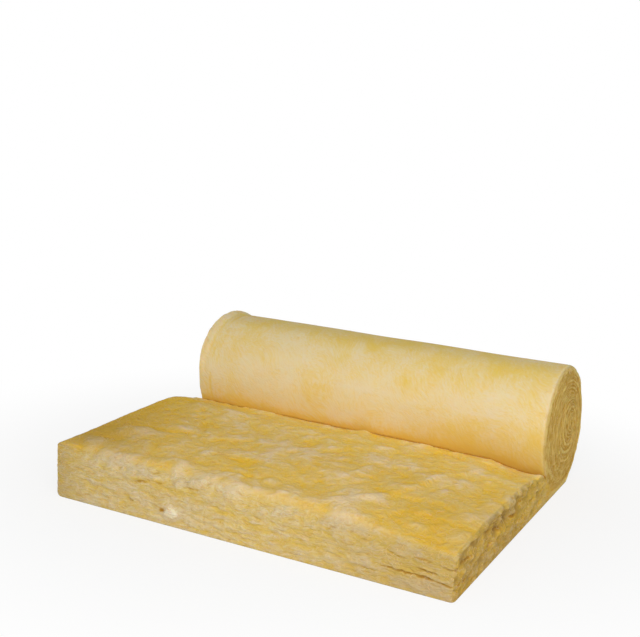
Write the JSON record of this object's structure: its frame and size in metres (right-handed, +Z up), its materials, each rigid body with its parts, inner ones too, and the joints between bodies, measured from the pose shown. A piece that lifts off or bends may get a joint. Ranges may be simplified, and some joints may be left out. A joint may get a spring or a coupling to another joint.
{
  "type": "insulation roll",
  "caption": "Partly unrolled roll of unfaced yellow glass-wool blanket: the free end lies open at its full thickness and the rest is wound up tight.",
  "frame": {"origin": "on the floor, at the centre of the blanket's outline seen from above", "axes": "X runs along the roll, which is the blanket's width; +Y runs from the free end towards the roll; +Z is up"},
  "size_m": [1.2, 1.1398, 0.4067],
  "materials": {
    "glass_wool": "soft, fibrous, matt"
  },
  "bodies": {
    "root": {"glass_wool_blanket": "glass_wool"}
  },
  "joints": []
}
